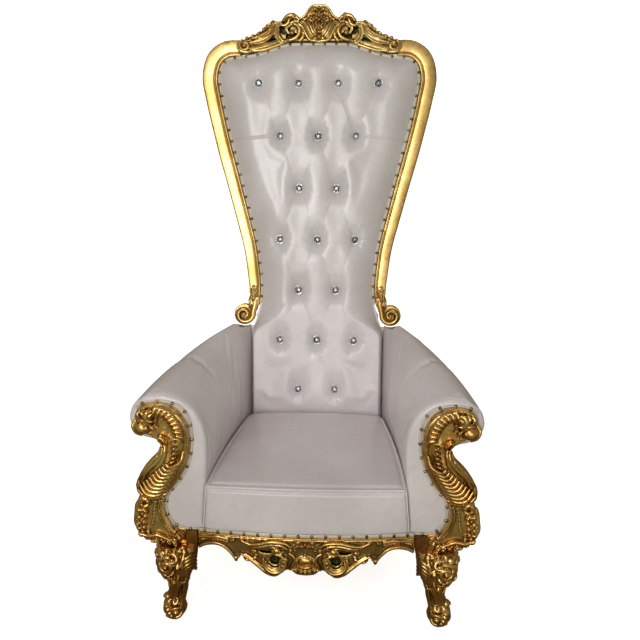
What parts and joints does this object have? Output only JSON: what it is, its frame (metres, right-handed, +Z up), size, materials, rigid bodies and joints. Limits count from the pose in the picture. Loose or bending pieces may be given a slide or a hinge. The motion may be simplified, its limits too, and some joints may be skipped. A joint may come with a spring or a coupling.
{
  "type": "throne",
  "caption": "High-backed rococo armchair throne with a gilded carved frame, a tufted padded back, rolled padded arms and a sprung seat on cabriole legs.",
  "frame": {"origin": "on the floor under the middle of the throne", "axes": "+Z up, the front faces -Y, +X is the sitter's left"},
  "size_m": [0.9962, 0.8913, 1.788],
  "materials": {
    "gilt": "carved wood under burnished yellow gold leaf",
    "leatherette": "pearl white leatherette with a soft sheen",
    "crystal": "clear cut stone over silver foil"
  },
  "bodies": {
    "root": {"crest": "gilt", "stile_left": "gilt", "stile_right": "gilt", "arm_facing_left": "gilt", "arm_facing_right": "gilt", "apron": "gilt", "front_leg_left": "gilt", "front_leg_right": "gilt", "rear_leg_left": "gilt", "rear_leg_right": "gilt", "side_rail_left": "gilt", "side_rail_right": "gilt", "rear_rail": "gilt", "back_panel": "leatherette", "back_cover": "leatherette", "arm_left": "leatherette", "arm_right": "leatherette", "seat": "leatherette", "crystal_button_1": "crystal", "crystal_button_2": "crystal", "crystal_button_3": "crystal", "crystal_button_4": "crystal", "crystal_button_5": "crystal", "crystal_button_6": "crystal", "crystal_button_7": "crystal", "crystal_button_8": "crystal", "crystal_button_9": "crystal", "crystal_button_10": "crystal", "crystal_button_11": "crystal", "crystal_button_12": "crystal", "crystal_button_13": "crystal", "crystal_button_14": "crystal", "crystal_button_15": "crystal", "crystal_button_16": "crystal", "crystal_button_17": "crystal", "crystal_button_18": "crystal", "crystal_button_19": "crystal"}
  },
  "joints": []
}
